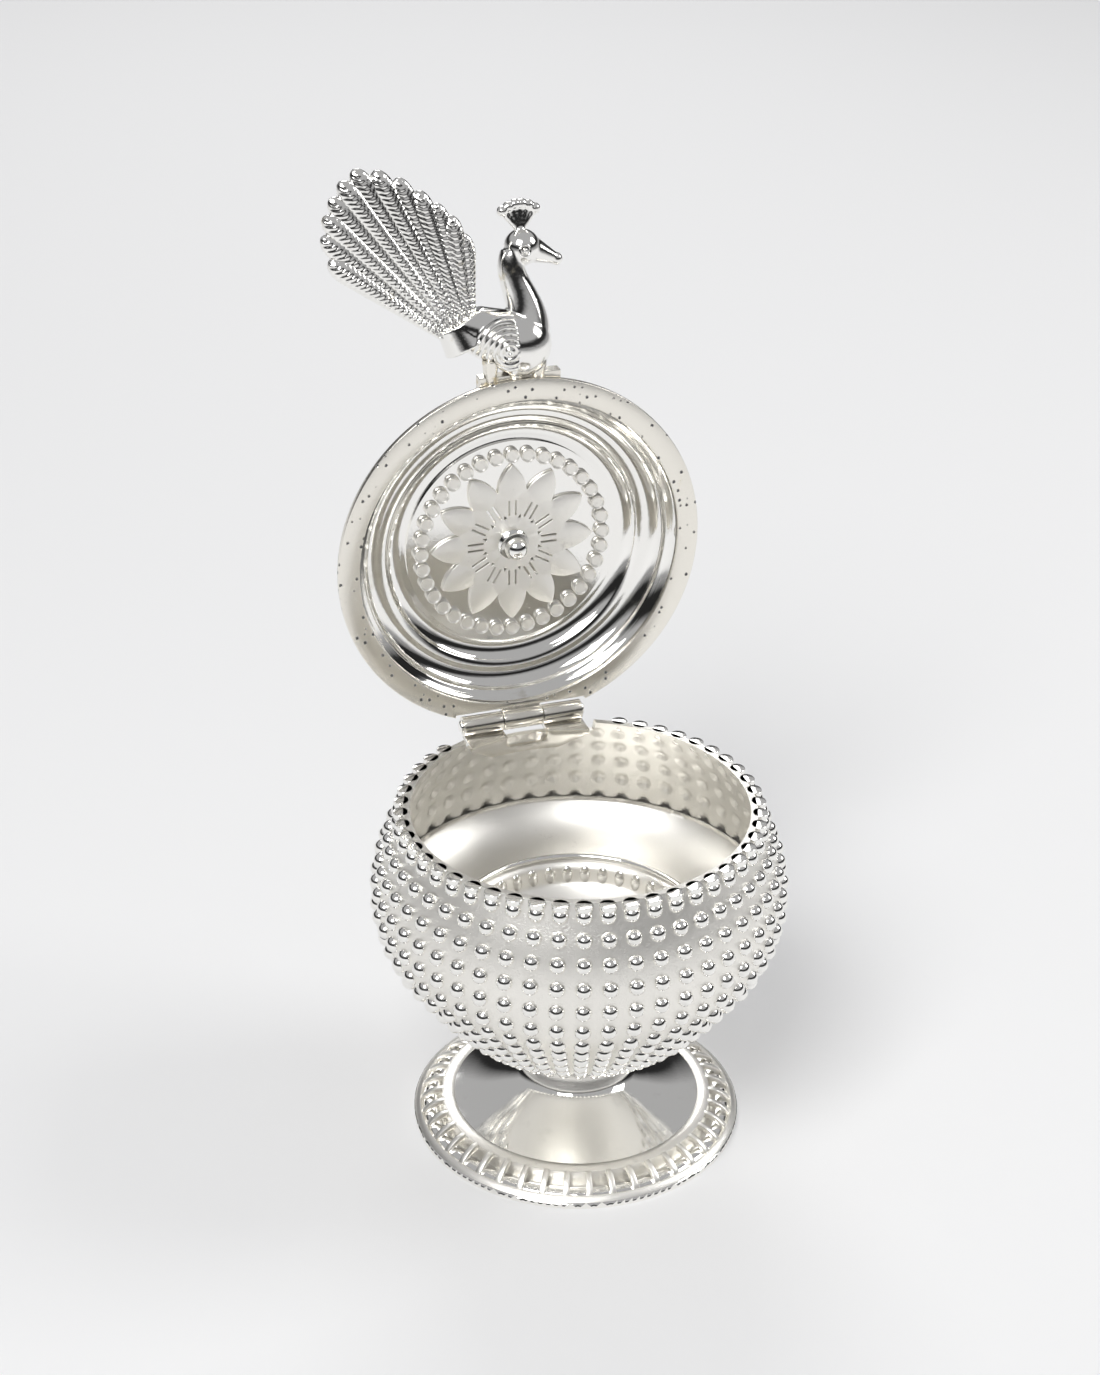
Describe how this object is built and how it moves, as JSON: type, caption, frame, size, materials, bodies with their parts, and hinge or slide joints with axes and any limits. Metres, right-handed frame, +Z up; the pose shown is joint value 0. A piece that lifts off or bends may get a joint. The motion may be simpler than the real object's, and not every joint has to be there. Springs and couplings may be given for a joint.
{
  "type": "sindoor box",
  "caption": "Footed round powder box with a beaded bowl, a hinged domed lid with a flower medallion inside, and a peacock figure on the lid's edge.",
  "frame": {"origin": "centre of the foot's underside, on the bowl's axis, in the plane that the box stands on", "axes": "+Z up along the bowl's axis, +Y towards the hinge, +X along the hinge pin; the lid stands open at rest"},
  "size_m": [0.0582, 0.0667, 0.1375],
  "materials": {
    "polished_foot": "bright polished silver plate",
    "matte_foot": "frosted white silver, raised ribs slightly rubbed",
    "polished_stem": "bright polished silver plate",
    "matte_collar": "frosted white silver",
    "beaded_bowl": "frosted ground with bright polished beads outside, cream frosted inside",
    "matte_floor": "cream frosted silver",
    "polished_wire": "bright polished silver wire",
    "hinge_satin": "satin silver with bright worn knuckles",
    "pin_polished": "bright polished pin",
    "flange_satin": "satin silver with fine pits and a faint yellow tarnish",
    "dome_polished": "bright polished sheet with soft spinning lines",
    "beading_polished": "bright polished beaded wire",
    "medallion_mirror": "mirror polished plate",
    "medallion_matte": "frosted white silver",
    "boss_polished": "mirror polished ball",
    "peacock_polished": "bright polished casting",
    "peacock_tail_satin": "bright casting with chased barbs",
    "peacock_base": "cast silver with yellow tarnish in the hollows"
  },
  "bodies": {
    "base": {"foot_plate": "polished_foot", "foot_border": "matte_foot", "stem": "polished_stem", "stem_collar": "matte_collar", "bowl": "beaded_bowl", "bowl_floor": "matte_floor", "bowl_floor_ring": "polished_wire", "hinge_bowl_leaf": "hinge_satin", "hinge_pin": "pin_polished"},
    "lid": {"hinge_lid_leaf": "hinge_satin", "lid_flange": "flange_satin", "lid_dome": "dome_polished", "edge_beading": "beading_polished", "medallion_plate": "medallion_mirror", "medallion_beading": "medallion_matte", "medallion_petals": "medallion_matte", "medallion_boss": "boss_polished", "peacock_perch": "peacock_base", "peacock_body": "peacock_polished", "peacock_tail": "peacock_tail_satin", "peacock_crest": "peacock_polished", "peacock_legs": "peacock_base"}
  },
  "joints": [
    {"name": "lid_hinge", "type": "hinge", "parent": "base", "child": "lid", "pos_m": [0, 0.0268, 0.0526], "axis": [1, 0, 0], "range_deg": [0, 90]}
  ]
}
